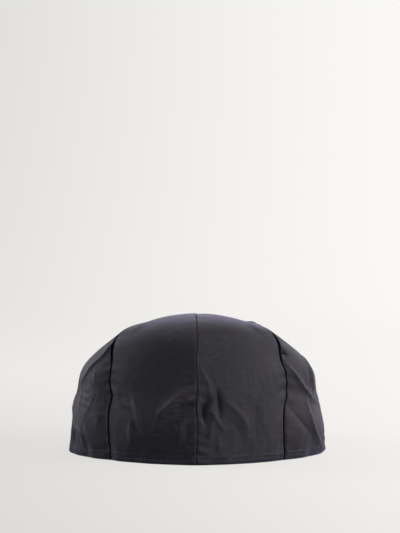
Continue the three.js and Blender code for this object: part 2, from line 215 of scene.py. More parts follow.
# The wax stiffens the cloth, so it keeps the creases that wearing and folding gave it. They gather low
# down round the back seam and run slantwise down the sides, and the upper half is drawn smooth.
FOLDS = [
    {"path": [(-.8, .46), (-4.6, .39), (-6, .33), (-7, .285)], "width": 2.4, "height": 0.8},
    {"path": [(-2.6, .46), (-6.6, .395), (-8.6, .36)], "width": 1.6, "height": -0.2},
    {"path": [(-9.1, .345), (-9.7, .29), (-10, .215)], "width": 1.4, "height": -1.9},
    {"path": [(-12, .31), (-15, .277), (-18, .25), (-20.8, .218), (-22.4, .182), (-22.9, .145),
              (-22.9, .1)], "width": 3.2, "height": 1.1},
    {"path": [(-13, .215), (-16.5, .19), (-19, .155), (-20.6, .1)], "width": 1.3, "height": -0.3},
    {"path": [(-7.2, .3), (-4, .281), (-2.6, .245), (-3.4, .198)], "width": 1.7, "height": -2.6},
    {"path": [(-.3, .34), (-1.2, .296)], "width": 1.3, "height": 0.9},
    {"path": [(-.3, .288), (-.8, .244), (-2.2, .184)], "width": 1.3, "height": 1.1},
    {"path": [(-4, .25), (-7, .249), (-8.5, .219), (-12, .162)], "width": 1.5, "height": 1.1},
    {"path": [(-7, .229), (-6, .164), (-5, .116)], "width": 1.6, "height": 0.7},
    {"path": [(-26.5, .286), (-26.8, .21), (-26.2, .124)], "width": 1.8, "height": -0.8},
    {"path": [(-24.8, .35), (-24.5, .302)], "width": 1.8, "height": 0.5},
    {"path": [(-9, .14), (-10, .06)], "width": 2.0, "height": 0.5},
    {"path": [(-16, .13), (-16.5, .05)], "width": 2.0, "height": 0.5},
    {"path": [(.8, .355), (7, .327), (13.8, .264), (17.4, .235)], "width": 3.0, "height": 2.3},
    {"path": [(1, .322), (6.8, .275)], "width": 1.6, "height": 1.3},
    {"path": [(.8, .3), (7.4, .258)], "width": 1.4, "height": -1.2},
    {"path": [(1, .252), (5.5, .215), (7, .164), (7.2, .1)], "width": 1.7, "height": 1.0},
    {"path": [(4, .2), (4.2, .09)], "width": 1.7, "height": -0.6},
    {"path": [(41, .36), (39.2, .34), (37.2, .318), (35, .29), (31, .266)],
     "width": 1.8, "height": 1.6},
    {"path": [(29, .31), (27, .255), (25.2, .204), (23.2, .145)], "width": 2.0, "height": 1.6},
    {"path": [(29.7, .2), (30, .147), (30.2, .085)], "width": 1.7, "height": 1.2},
    {"path": [(28.4, .205), (26.5, .14)], "width": 1.7, "height": -0.8},
    {"path": [(49, .585), (54.5, .485), (61, .414)], "width": 3.8, "height": -0.7},
    {"path": [(53, .48), (51.8, .43), (50.2, .38), (44.5, .345)], "width": 1.7, "height": 0.7},
    {"path": [(52, .63), (51.8, .585), (52.6, .53), (54.8, .495), (57.2, .46), (61, .412), (67, .354)],
     "width": 2.2, "height": 2.1},
    {"path": [(83, .31), (85, .19)], "width": 6, "height": 2.0},
    {"path": [(63, .34), (64.8, .266), (64.8, .195)], "width": 2.2, "height": 0.9},
    {"path": [(76, .155), (65, .136), (61, .098), (61, .04)], "width": 2.0, "height": 1.4},
    {"path": [(74, .17), (72, .1), (71, .04)], "width": 7, "height": -1.4},
    {"path": [(60.2, .169), (55, .107), (49.5, .06)], "width": 2.0, "height": 0.8},
    {"path": [(-46, .49), (-49.6, .43), (-53.8, .374), (-58.8, .33), (-64.5, .295), (-73, .262)],
     "width": 2.0, "height": 2.3},
    {"path": [(-70, .55), (-65.2, .485), (-64.3, .434), (-65.6, .378), (-70.4, .32)],
     "width": 2.2, "height": 2.2},
    {"path": [(-57, .29), (-59.6, .24), (-62, .178), (-66.3, .111), (-75, .03)],
     "width": 2.2, "height": 2.2},
    {"path": [(-43.8, .286), (-49, .225), (-56.8, .158), (-62.5, .103)], "width": 2.7, "height": -0.9},
    {"path": [(118, .15), (110, .26), (102, .42)], "width": 5, "height": 1.9},
    {"path": [(128, .13), (122, .3), (118, .5)], "width": 5, "height": -1.6},
    {"path": [(241, .14), (249, .27), (255, .45)], "width": 5, "height": 1.8},
    {"path": [(231, .13), (238, .3), (242, .5)], "width": 5, "height": -1.6},
    {"path": [(150, .1), (148, .25), (152, .4)], "width": 6, "height": 1.2},
    {"path": [(209, .1), (212, .27), (208, .42)], "width": 6, "height": 1.2},
    {"path": [(-46.6, .56), (-51.5, .55)], "width": 2.2, "height": -2.8},
    {"path": [(-79, .78), (-88, .81), (-96, .84)], "width": 6, "height": 2.4},
]
FOLD_EDGE, FOLD_ENDS, FOLD_REACH, FOLD_STEPS = 0.6, 0.25, 4.5, 14


def fold_line(path):
    """The line that a fold follows, in millimetres round the crown and up it."""
    turns, rises = np.array(path, float).T
    steps = np.linspace(0, 1, FOLD_STEPS)
    return np.stack([smooth_curve(turns % 360, steps) * TURN_WIDTH,
                     smooth_curve(rises, steps) * MERIDIAN], axis=-1)


def fold_heights(turn, rise):
    """All the folds together. Each has a sharp crest, swells along its middle and dies away."""
    around, up = np.asarray(turn * TURN_WIDTH), np.asarray(rise * MERIDIAN)
    total = np.zeros(around.shape)
    for fold in FOLDS:
        line = fold_line(fold["path"])
        margin = FOLD_REACH * fold["width"]
        low, high = line.min(axis=0) - margin, line.max(axis=0) + margin
        near = (around > low[0]) & (around < high[0]) & (up > low[1]) & (up < high[1])
        if not near.any():
            continue
        x, y = around[near], up[near]
        nearest, along = np.full(x.shape, 1e9), np.zeros(x.shape)
        for i in range(len(line) - 1):
            run = line[i + 1] - line[i]
            t = np.clip(((x - line[i, 0]) * run[0] + (y - line[i, 1]) * run[1]) / (run @ run), 0, 1)
            gap = np.hypot(x - line[i, 0] - t * run[0], y - line[i, 1] - t * run[1])
            closer = gap < nearest
            nearest = np.where(closer, gap, nearest)
            along = np.where(closer, (i + t) / (len(line) - 1), along)
        swell = FOLD_ENDS + (1 - FOLD_ENDS) * np.sin(math.pi * along)
        slope = (np.sqrt(nearest ** 2 + FOLD_EDGE ** 2) - FOLD_EDGE) / fold["width"]
        total[near] += fold["height"] * swell * np.exp(-slope)
    return total


def cloth_waves(seed, wavelength):
    """Seeded random waves of about unit height in the cloth, which close up round the crown."""
    chance = np.random.default_rng(seed)
    columns, rows, spread = 768, 512, 0.45
    length, height = 360 * TURN_WIDTH, 400.0
    spectrum = np.fft.fft2(chance.normal(size=(rows, columns)))
    across = np.abs(np.fft.fftfreq(columns, length / columns))[None, :] * wavelength[0]
    upward = np.abs(np.fft.fftfreq(rows, height / rows))[:, None] * wavelength[1]
    field = np.real(np.fft.ifft2(spectrum * bell(np.hypot(across, upward) - 1, spread)))
    field /= field.std()

    def sample(around, up):
        x, y = np.mod(around / length, 1) * columns, np.mod(up / height, 1) * rows
        i, j = np.floor(x).astype(int), np.floor(y).astype(int)
        fx, fy = x - i, y - j
        i, i_next, j, j_next = i % columns, (i + 1) % columns, j % rows, (j + 1) % rows
        lower = field[j, i] * (1 - fx) + field[j, i_next] * fx
        upper = field[j_next, i] * (1 - fx) + field[j_next, i_next] * fx
        return lower * (1 - fy) + upper * fy

    return sample


WARP_ACROSS, WARP_UP = cloth_waves(3, (60, 60)), cloth_waves(4, (60, 60))
BROAD, DRAPE = cloth_waves(5, (62, 60)), cloth_waves(6, (17, 42))
CRUMPLE, RUMPLE = cloth_waves(7, (15, 19)), cloth_waves(8, (7, 9))
WARP = 5
# Each kind of wave has a height, and a share of it that is kept in the drawn upper half.
WAVES = {"broad": {"height": 0.3, "kept": 0.3}, "drape": {"height": 0.055, "kept": 0.1},
         "crumple": {"height": 0.08, "kept": 0.08}, "rumple": {"height": 0.04, "kept": 0.2}}
DRAWN = {"from": 0.28, "over": 0.34}
SLACK_SIDES = {"more": 0.7, "from": 44, "over": 14}


def loose_waves(turn, rise):
    """The waves between the folds, strongest low down where nothing draws the cloth tight."""
    around, up = turn * TURN_WIDTH, rise * MERIDIAN
    across = around + WARP * WARP_ACROSS(around, up)
    upward = up + WARP * WARP_UP(around, up)
    sides = ease((np.minimum(turn, 360 - turn) - SLACK_SIDES["from"]) / SLACK_SIDES["over"])
    low = (1 - ease((rise - DRAWN["from"]) / DRAWN["over"])) * (1 + SLACK_SIDES["more"] * sides)
    fields = {"broad": BROAD(around, up), "drape": DRAPE(across, upward),
              "crumple": 1 - np.abs(CRUMPLE(across, upward)),
              "rumple": 1 - np.abs(RUMPLE(across, upward))}
    return sum(wave["height"] * fields[name] * (wave["kept"] + (1 - wave["kept"]) * low)
               for name, wave in WAVES.items())


# The lower edge is turned up inside by 5 mm and held by one row of stitches, which bite into the cloth
# and gather it. In front the same edge lies on the peak and is sewn down to it.
CLOTH, HEM_WALL = 1.6, 2.8
HEM_HEIGHT, HEM_STEP, HEM_SHOULDER, HEM_ROUND = 5.0, 0.3, 1.8, 1.3
STITCH_HEIGHT, STITCH_PITCH = 4.3, 3.1
HEM_GATHER, HEM_GATHER_WIDTH = 0.35, 9
HEM_ROW = {"groove": 0.25, "groove_width": 0.8, "dimple": 0.06, "dimple_width": 1.6}
PEAK_TOP = {"front": -156.9, "rise": 7.3, "thickness": 3.4, "slope": 0.14, "arch": 190.0, "gap": 0.3}
PEAK_LIFT = {"from": -20, "over": 30, "height": 0.16}


def stitched_row(along, from_row, row):
    """The groove that a row of stitches draws into the cloth, with a dimple at every stitch."""
    dimples = row["dimple"] * np.cos(2 * math.pi * along / STITCH_PITCH)
    groove = row["groove"] * bell(from_row, row["groove_width"])
    return dimples * bell(from_row, row["dimple_width"]) - groove


def hem_relief(turn, rise):
    height, around = rise * MERIDIAN, turn * TURN_WIDTH
    from_row = height - STITCH_HEIGHT
    step = HEM_STEP * (1 - ease((height - HEM_HEIGHT) / HEM_SHOULDER))
    gather = HEM_GATHER * DRAPE(around, 0 * around) * bell(from_row, HEM_GATHER_WIDTH)
    return step + gather + stitched_row(around, from_row, HEM_ROW)


def peak_top(x, y):
    """The height of the peak's upper face."""
    back = y - OPENING_Y - PEAK_TOP["front"]
    return (PEAK_TOP["rise"] + PEAK_TOP["thickness"] - x * x / (2 * PEAK_TOP["arch"])
            + PEAK_TOP["slope"] * back)


def lift_on_peak(points, turn, rise):
    """How far the crown's lower edge is raised to lie on the peak."""
    x, y = points[..., 0], points[..., 1]
    near = ease((PEAK_LIFT["from"] - (y - OPENING_Y)) / PEAK_LIFT["over"])
    lift = peak_top(x, y) + PEAK_TOP["gap"] - crown_form(turn, 0 * rise)[..., 2]
    return near * lift * (1 - ease(rise / PEAK_LIFT["height"]))


# Painted highlight and painted shade on the crown. The turns are counted from the back to either side.
CREST_HIGHLIGHT = {"rise": 0.62, "height": 0.06, "from": 12, "over": 18, "left": 0.45, "right": 0.12}
CORNER_SHADE = {"rise": 0.7, "height": 0.08, "amount": 0.9}
CORNER_SHADE_BAND = {"start": 28, "rising": 14, "end": 72, "falling": 12}
FLANK = {"from": 47, "over": 6, "rise": 0.4, "fade": 0.2, "low": 0.1, "low_fade": 0.12}
FLANK_LEFT = {"painted_light": 0.75, "painted_light_to": 62, "painted_shade": 0.7, "painted_shade_from": 58, "over": 8}
FLANK_RIGHT = {"painted_light": 0.6, "painted_light_from": 60, "painted_shade": 0.3, "over": 8}


def painted_light(turn, rise):
    """Painted highlight where the back turns over and on the sides; painted shade at the upper corners
    and low on the sides.
    """
    turn = turn % 360
    side = np.minimum(turn, 360 - turn)
    crest = bell(rise - CREST_HIGHLIGHT["rise"], CREST_HIGHLIGHT["height"])
    crest = crest * (1 - ease((side - CREST_HIGHLIGHT["from"]) / CREST_HIGHLIGHT["over"]))
    crest = crest * np.where(turn < 180, CREST_HIGHLIGHT["left"], CREST_HIGHLIGHT["right"])
    corner = bell(rise - CORNER_SHADE["rise"], CORNER_SHADE["height"]) * band(side, **CORNER_SHADE_BAND)
    flank = ease((side - FLANK["from"]) / FLANK["over"])
    flank = flank * (1 - ease((rise - FLANK["rise"]) / FLANK["fade"]))
    low = 1 - ease((rise - FLANK["low"]) / FLANK["low_fade"])
    near = 1 - ease((side - FLANK_LEFT["painted_light_to"]) / FLANK_LEFT["over"])
    far = ease((side - FLANK_LEFT["painted_shade_from"]) / FLANK_LEFT["over"])
    left = FLANK_LEFT["painted_light"] * near * (1 - low) - FLANK_LEFT["painted_shade"] * low * far
    far = ease((side - FLANK_RIGHT["painted_light_from"]) / FLANK_RIGHT["over"])
    right = FLANK_RIGHT["painted_light"] * far * (1 - low) - FLANK_RIGHT["painted_shade"] * low
    return crest - CORNER_SHADE["amount"] * corner + flank * np.where(turn < 180, left, right)


NARROW_PANEL = 24
FREE_OF_SEAM, FREE_OF_HEM = 2.6, 0.03
# The attribute's levels: plain cloth, a fold's share, painted shade at the seams, and the inside face.
RUBBING_AND_SHADE_LEVELS = {"plain": 0.5, "crease": 0.3, "seam": 0.9, "inside": 0.4}


def cloth_faces(k, share, rise):
    """The outer and inner face of panel k, at a share across it, with each spot's wear and painted
    light and shade.
    """
    start, width = seam_turn(k, rise), panel_width(k, rise)
    turn = start + (seam_turn(k + 1, rise) - start) * share
    from_start, from_end = share * width, (1 - share) * width
    narrow = np.clip(width / NARROW_PANEL, 0, 1)
    seams = seam_relief(k, from_start, rise) + seam_relief(k + 1, from_end, rise)
    puff = PANEL_PUFF * 4 * share * (1 - share) * np.sin(math.pi * np.clip(rise * PUFF_RISE, 0, 1))
    free = ease(np.minimum(from_start, from_end) / FREE_OF_SEAM) * ease(rise / FREE_OF_HEM)
    creases = (fold_heights(turn, rise) + loose_waves(turn, rise) * narrow) * free
    relief = seams * narrow + puff + creases + hem_relief(turn, rise)
    height = rise * MERIDIAN
    normal = crown_normal(turn, rise)
    upright = normal * [1, 1, 0]
    upright /= np.linalg.norm(upright, axis=-1, keepdims=True)
    level = ease(1 - height / HEM_HEIGHT)[..., None]
    normal = normal * (1 - level) + upright * level
    wall = CLOTH + (HEM_WALL - CLOTH) * (1 - ease((height - HEM_HEIGHT) / HEM_SHOULDER))
    rounded = np.clip(1 - height / HEM_ROUND, 0, 1)
    rounded = HEM_ROUND * (1 - np.sqrt(1 - HEM_ROUNDNESS * rounded ** 2))
    form = crown_form(turn, rise)
    outer = form + normal * (relief - rounded)[..., None]
    inner = form + normal * (relief - wall + rounded)[..., None]
    outer[..., 2] += lift_on_peak(outer, turn, rise)
    inner[..., 2] += lift_on_peak(inner, turn, rise)
    # Painted shade along the seams, carried by the same attribute as the wear.
    shaded = painted_seam_shade(k, from_start, rise) + painted_seam_shade(k + 1, from_end, rise)
    # Fold ridges turn paler, and deep fold valleys get painted shade, near black.
    rubbing_and_painted_light = (RUBBING_AND_SHADE_LEVELS["plain"] + RUBBING_AND_SHADE_LEVELS["crease"] * creases + painted_light(turn, rise)
              - RUBBING_AND_SHADE_LEVELS["seam"] * shaded * narrow)
    return outer, inner, np.clip(rubbing_and_painted_light, -1, 1)


def grid_faces(at, flip=False):
    """Four-sided faces over a grid of vertex numbers."""
    corners = [at[:-1, :-1], at[1:, :-1], at[1:, 1:], at[:-1, 1:]]
    faces = np.stack(corners, axis=-1).reshape(-1, 4)
    return faces[:, ::-1] if flip else faces


def cloth_piece(name, points, faces, cloth_place, rubbing_and_painted_light):
    """A mesh with its cloth's own coordinates, from points in millimetres."""
    mesh = bpy.data.meshes.new(name)
    mesh.from_pydata((points / 1000).tolist(), [], faces)
    mesh.update()
    corners = np.empty(len(mesh.loops), np.int32)
    mesh.loops.foreach_get("vertex_index", corners)
    place = (cloth_place[corners] / 1000).astype(np.float32)
    mesh.uv_layers.new(name="cloth").data.foreach_set("uv", place.ravel())
    # The attribute carries wear, painted highlight and painted shade.
    worn = mesh.attributes.new("rubbing_and_painted_light", "FLOAT", "POINT")
    worn.data.foreach_set("value", rubbing_and_painted_light.astype(np.float32))
    mesh.shade_smooth()
    piece = bpy.data.objects.new(name, mesh)
    bpy.context.scene.collection.objects.link(piece)
    return piece


# The rows of vertices in the hem, in millimetres up it. Across a panel they crowd towards its seams.
HEM_ROWS = [0, 0.15, 0.4, 0.8, 1.3, 2, 2.8, 3.4, 3.8, 4.3, 4.8, 5.2, 5.8, 6.5, 7.3]
ABOVE_HEM = 8.2
CROWD = {"most": 0.75, "from": 10, "over": 30}


def crown_panel(k):
    panel = PANELS[k]
    above = np.linspace(ABOVE_HEM / MERIDIAN, 1, panel["rows"])
    rise = np.concatenate([np.array(HEM_ROWS) / MERIDIAN, above])[:, None]
    width = panel_width(k, rise)
    even = np.linspace(0, 1, panel["columns"])[None, :]
    crowd = CROWD["most"] * np.clip((width - CROWD["from"]) / CROWD["over"], 0, 1)
    share = even * (1 - crowd) + (0.5 - 0.5 * np.cos(math.pi * even)) * crowd
    first, last = seam_gap(k, rise) / width, seam_gap(k + 1, rise) / width
    rise = rise + 0 * share
    inner = cloth_faces(k, share, rise)[1]
    share = first + (1 - first - last) * share
    outer, _, rubbing_and_painted_light = cloth_faces(k, share, rise)
    at = np.arange(share.size).reshape(share.shape)
    behind = at + share.size
    faces = np.concatenate([
        grid_faces(at),
        grid_faces(behind, flip=True),
        grid_faces(np.stack([behind[0], at[0]])),
        grid_faces(np.stack([at[-1], behind[-1]])),
        grid_faces(np.stack([behind[:, 0], at[:, 0]], axis=1)),
        grid_faces(np.stack([at[:, -1], behind[:, -1]], axis=1)),
    ])
    place = np.stack([(share - 0.5) * width, rise * MERIDIAN], axis=-1).reshape(-1, 2)
    points = np.concatenate([outer.reshape(-1, 3), inner.reshape(-1, 3)])
    rubbing_and_painted_light = np.concatenate([rubbing_and_painted_light.ravel(), np.full(share.size, RUBBING_AND_SHADE_LEVELS["inside"])])
    place = np.concatenate([place, place])
    return cloth_piece(panel["name"] + "_cotton", points, faces.tolist(), place, rubbing_and_painted_light)


class Wire:
    """A socket of a material. Arithmetic on it adds Math nodes."""

    def __init__(self, finish, socket):
        self.finish, self.socket = finish, socket

    def sum_node(self, operation, *values):
        return self.finish.node("ShaderNodeMath", {"operation": operation}, dict(enumerate(values)))

    def __add__(self, other):
        return self.sum_node("ADD", self, other)

    def __sub__(self, other):
        return self.sum_node("SUBTRACT", self, other)

    def __rsub__(self, other):
        return self.sum_node("SUBTRACT", other, self)

    def __mul__(self, other):
        return self.sum_node("MULTIPLY", self, other)

    __radd__ = __add__
    __rmul__ = __mul__

    def sine(self):
        return self.sum_node("SINE", self)

    def between(self, low, high):
        """0 below low, 1 above high, and smooth between them."""
        settings = {"interpolation_type": "SMOOTHSTEP"}
        return self.finish.node("ShaderNodeMapRange", settings,
                                {"Value": self, "From Min": low, "From Max": high})


class Finish:
    """A material, made node by node."""

    def __init__(self, name):
        self.material = bpy.data.materials.new(name)
        self.material.use_nodes = True
        self.tree = self.material.node_tree
        self.tree.nodes.clear()

    def node(self, kind, settings=None, inputs=None, output=0):
        made = self.tree.nodes.new(kind)
        for name, value in (settings or {}).items():
            setattr(made, name, value)
        for name, value in (inputs or {}).items():
            if isinstance(value, Wire):
                self.tree.links.new(value.socket, made.inputs[name])
            else:
                made.inputs[name].default_value = value
        return Wire(self, made.outputs[output]) if len(made.outputs) else made

    def blend(self, factor, first, second):
        """One colour over another."""
        return self.node("ShaderNodeMix", {"data_type": "RGBA"}, {0: factor, 6: first, 7: second}, 2)

    def show(self, shader):
        self.node("ShaderNodeOutputMaterial", None, {"Surface": shader})
        return self.material


DEEP_NAVY = (0.0112, 0.0100, 0.0140, 1)
# The paler navy of rubbed wax and of painted highlight.
WORN_AND_HIGHLIT_NAVY = (0.0315, 0.0285, 0.0385, 1)
# Near black, painted in as shade.
PAINTED_SHADE_BLACK = (0.0012, 0.0011, 0.0016, 1)
HEM_NAVY = (0.0125, 0.0125, 0.026, 1)
THREAD_PITCH = 0.00055
HEM_BLUE = {"amount": 0.7, "from": 0.003, "to": 0.008, "waver": 0.0012}


def waxed_cotton(name, hem_band):
    """Close plain weave under a coat of wax, paler where it is rubbed and where highlight is painted,
    and painted near black as shade in the hollows.
    """
    finish = Finish(name)
    cloth = finish.node("ShaderNodeUVMap", {"uv_map": "cloth"})
    across = finish.node("ShaderNodeSeparateXYZ", None, {0: cloth}, 0)
    upward = finish.node("ShaderNodeSeparateXYZ", None, {0: cloth}, 1)
    body = finish.node("ShaderNodeTexCoord", output=3)
    rubbing_and_painted_light = finish.node("ShaderNodeAttribute", {"attribute_name": "rubbing_and_painted_light"}, output=2)
    bloom = finish.node("ShaderNodeTexNoise", None, {"Vector": body, "Scale": 26, "Detail": 4})
    slub = finish.node("ShaderNodeTexNoise", None, {"Vector": body, "Scale": 420, "Detail": 3})
    drawn_out = finish.node("ShaderNodeVectorMath", {"operation": "MULTIPLY"},
                            {0: cloth, 1: (130, 1050, 1)})
    weft_slub = finish.node("ShaderNodeTexNoise", None, {"Vector": drawn_out, "Scale": 1, "Detail": 3})
    speck = finish.node("ShaderNodeTexNoise", None, {"Vector": body, "Scale": 1500, "Detail": 2})
    # Wear and painted highlight make the cloth paler through the attribute.
    pale = (0.75 * rubbing_and_painted_light.between(0.45, 1.0) + 0.4 * (bloom.between(0.35, 0.7) - 0.5)
            + 0.65 * (slub.between(0.3, 0.75) - 0.5) + 0.6 * (weft_slub.between(0.35, 0.7) - 0.5))
    colour = finish.blend(pale, DEEP_NAVY, WORN_AND_HIGHLIT_NAVY)
    if hem_band:
        height = upward + HEM_BLUE["waver"] * (bloom - 0.5)
        low = 1 - height.between(HEM_BLUE["from"], HEM_BLUE["to"])
        colour = finish.blend(HEM_BLUE["amount"] * low, colour, HEM_NAVY)
    warp = (across * (2 * math.pi / THREAD_PITCH)).sine()
    weft = (upward * (2 * math.pi / THREAD_PITCH)).sine()
    relief = 0.35 * warp * weft + 0.5 * slub + 0.35 * speck + 0.4 * weft_slub
    bump = finish.node("ShaderNodeBump", None,
                       {"Strength": 0.55, "Distance": 0.00022, "Height": relief})
    roughness = 0.5 + 0.16 * bloom + 0.10 * speck - 0.09 * rubbing_and_painted_light
    face = finish.node("ShaderNodeBsdfPrincipled", None, {
        "Base Color": colour, "Roughness": roughness, "Normal": bump, "Specular IOR Level": 0.42,
        "Sheen Weight": 0.36, "Sheen Roughness": 0.36, "Sheen Tint": (0.74, 0.68, 1.0, 1)})
    # A dull near-black finish, mixed in as painted shade where the attribute runs low: seam grooves,
    # deep fold valleys, upper corners, lower sides.
    groove = finish.node("ShaderNodeBsdfPrincipled", None, {
        "Base Color": PAINTED_SHADE_BLACK, "Roughness": 0.9, "Specular IOR Level": 0.1})
    return finish.show(finish.node("ShaderNodeMixShader", None, {
        0: rubbing_and_painted_light.between(-0.9, 0.2), 1: groove, 2: face}))


crown_cotton = waxed_cotton("crown_waxed_cotton", True)
for k, panel in enumerate(PANELS):
    sewn = crown_panel(k)
    sewn.data.materials.append(crown_cotton)
    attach(sewn, "root")
    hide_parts(panel["name"])

# THE HEM STITCHING
# One row of navy polyester thread, lockstitched by machine at about eight stitches in 25 mm. It holds
# the turned-up hem all the way round, and in front it goes through the peak as well.
STITCH_LENGTH = 2.35
STITCH_ARCH, STITCH_SUNK = 0.3, 0.12
THREAD_RADIUS, THREAD_END, THREAD_RUBBED = 0.24, 0.12, 0.6
THREAD_NAVY, THREAD_LIGHT = (0.010, 0.010, 0.020, 1), (0.03, 0.03, 0.06, 1)


def on_panel(turn, rise):
    """The cloth's outer face at any turn round the crown."""
    turn = turn % 360
    starts = [float(seam_turn(k, np.array(rise))) for k in range(9)]
    k = next(k for k in range(8) if turn <= starts[k + 1])
    share = (turn - starts[k]) / (starts[k + 1] - starts[k])
    return cloth_faces(k, np.array([share]), np.array([rise]))[0][0]


def thread_stitches(name, ends, outward):
    """Short rounded lengths of thread that dip into the cloth at both ends."""
    sides, rings = 8, 9
    points, faces = [], []
    for (start, end), out in zip(ends, outward):
        run = end - start
        side = np.cross(run, out)
        side /= np.linalg.norm(side)
        for i in range(rings):
            t = i / (rings - 1)
            round_end = math.sqrt(max(0.0, 1 - (2 * t - 1) ** 6))
            arch = 1 - (2 * t - 1) ** 2
            middle = start + run * t + out * (STITCH_ARCH * arch - STITCH_SUNK)
            radius = THREAD_RADIUS * max(THREAD_END, round_end)
            for j in range(sides):
                angle = 2 * math.pi * j / sides
                points.append(middle + radius * (math.cos(angle) * side + math.sin(angle) * out))
        first = len(points) - rings * sides
        for i in range(rings - 1):
            for j in range(sides):
                a, b = first + i * sides + j, first + i * sides + (j + 1) % sides
                faces.append([a, a + sides, b + sides, b])
        faces.append([first + j for j in range(sides)])
        faces.append([first + (rings - 1) * sides + j for j in reversed(range(sides))])
    points = np.array(points)
    return cloth_piece(name, points, faces, points[:, :2], np.full(len(points), THREAD_RUBBED))


def sewing_thread(name):
    """Twisted thread, a little glossier and bluer than the cloth."""
    finish = Finish(name)
    body = finish.node("ShaderNodeTexCoord", output=3)
    ply = finish.node("ShaderNodeTexWave", {"bands_direction": "DIAGONAL"},
                      {"Vector": body, "Scale": 900, "Distortion": 1.5})
    fibre = finish.node("ShaderNodeTexNoise", None, {"Vector": body, "Scale": 2500, "Detail": 2})
    colour = finish.blend(0.4 * fibre, THREAD_NAVY, THREAD_LIGHT)
    bump = finish.node("ShaderNodeBump", None, {"Strength": 0.6, "Distance": 0.0001, "Height": ply})
    return finish.show(finish.node("ShaderNodeBsdfPrincipled", None, {
        "Base Color": colour, "Roughness": 0.35 + 0.2 * fibre, "Normal": bump}))


# The row goes round from the back seam, and skips a stitch that would cross a seam.
ROW_RISE, ROW_OUTWARD_RISE = STITCH_HEIGHT / MERIDIAN, 0.03
ROW_START, ROW_END, ROW_CLEARANCE = 0.9, 359.6, 0.25
seams_at_row = [float(seam_turn(k, np.array(ROW_RISE))) for k in range(9)]
ends, outward = [], []
turn = ROW_START
while turn < ROW_END:
    here = on_panel(turn, ROW_RISE)
    degree = np.linalg.norm(on_panel(turn + 0.5, ROW_RISE) - here) * 2
    stop = turn + STITCH_LENGTH / degree
    if not any(turn - ROW_CLEARANCE < seam < stop + ROW_CLEARANCE for seam in seams_at_row):
        ends.append((here, on_panel(stop, ROW_RISE)))
        outward.append(crown_normal(np.array(turn), np.array(ROW_OUTWARD_RISE)))
    turn += STITCH_PITCH / degree

navy_thread = sewing_thread("navy_thread")
hem_stitching = thread_stitches("hem_stitching", ends, outward)
hem_stitching.data.materials.append(navy_thread)
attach(hem_stitching, "root")

# THE PEAK
# A stiff curved board between two layers of the same waxed cotton, which are sewn together round its
# edge and drawn tight. It slopes down to the front, and the crown's front edge is sewn down on it.
PEAK = {"front": -156.9, "inner_front": -100.0, "corner": -58.0, "half": 85.0, "tip": 2.8}
PEAK_ENDS = {"thickness": 0.5, "over": 0.35}
PEAK_WAVES = cloth_waves(33, (26, 26))
PEAK_WAVE = {"height": 0.07, "x": 300, "y": 200, "from_edge": 8}
PEAK_CLOTH = {"even": 0.35, "free": 1.5, "rubbing_and_painted_light": 0.45, "rubbed_edge": 0.5, "edge": 1.6}
PEAK_ROW = {"groove": 0.28, "groove_width": 0.7, "dimple": 0.05, "dimple_width": 1.5}
PEAK_ROW_INSET, PEAK_ROW_RADIUS, PEAK_ROW_END = 4.0, 118, 86


def peak_place(angle, across):
    """A spot of the peak from above: an angle round it, and a share from its inner to outer edge."""
    s, c = np.sin(angle), np.cos(angle)
    inner = np.stack([(PEAK["half"] - PEAK["tip"]) * s,
                      PEAK["corner"] + (PEAK["inner_front"] - PEAK["corner"]) * c + OPENING_Y], axis=-1)
    outer = np.stack([PEAK["half"] * s,
                      PEAK["corner"] + (PEAK["front"] - PEAK["corner"]) * c + OPENING_Y], axis=-1)
    return inner + (outer - inner) * across[..., None], np.linalg.norm(outer - inner, axis=-1)


def make_peak():
    steps, strips = 260, 46
    angle = np.radians(90 - 180 * (0.5 - 0.5 * np.cos(math.pi * np.linspace(0, 1, steps))))[:, None]
    spread = 0.5 - 0.5 * np.cos(math.pi * np.linspace(0, 1, strips))[None, :]
    even = PEAK_CLOTH["even"]
    spread = even * np.linspace(0, 1, strips)[None, :] + (1 - even) * spread
    place, width = peak_place(angle + 0 * spread, spread + 0 * angle)
    ends = PEAK_ENDS["thickness"]
    stiffness = PEAK_TOP["thickness"] * (ends + (1 - ends) * ease(np.cos(angle) / PEAK_ENDS["over"]))
    to_edge = np.minimum(spread, 1 - spread) * width
    rim = stiffness / 2
    rounding = rim * (1 - np.sqrt(1 - np.clip(1 - to_edge / rim, 0, 1) ** 2))
    waves = PEAK_WAVES(place[..., 0] + PEAK_WAVE["x"], place[..., 1] + PEAK_WAVE["y"])
    waves = PEAK_WAVE["height"] * waves * ease(to_edge / PEAK_WAVE["from_edge"])
    from_row = (1 - spread) * width - PEAK_ROW_INSET
    seam = stitched_row(angle * PEAK_ROW_RADIUS, from_row, PEAK_ROW)
    top = peak_top(place[..., 0], place[..., 1])
    above = top - rounding + (waves + seam) * ease(to_edge / PEAK_CLOTH["free"])
    below = top - stiffness + rounding
    upper = np.concatenate([place, above[..., None]], axis=-1)
    lower = np.concatenate([place, below[..., None]], axis=-1)
    at = np.arange(spread.size * steps).reshape(steps, strips)
    under = at + at.size
    faces = np.concatenate([
        grid_faces(at, flip=True), grid_faces(under),
        grid_faces(np.stack([under[0], at[0]]), flip=True),
        grid_faces(np.stack([at[-1], under[-1]]), flip=True),
        grid_faces(np.stack([under[:, 0], at[:, 0]], axis=1), flip=True),
        grid_faces(np.stack([at[:, -1], under[:, -1]], axis=1), flip=True),
    ])
    points = np.concatenate([upper.reshape(-1, 3), lower.reshape(-1, 3)])
    plain = PEAK_CLOTH["rubbing_and_painted_light"]
    worn = plain + PEAK_CLOTH["rubbed_edge"] * np.exp(-to_edge / PEAK_CLOTH["edge"]) + 0 * spread
    rubbing_and_painted_light = np.concatenate([worn.ravel(), np.full(at.size, plain)])
    return cloth_piece("peak_covered", points, faces.tolist(), points[:, :2], rubbing_and_painted_light)


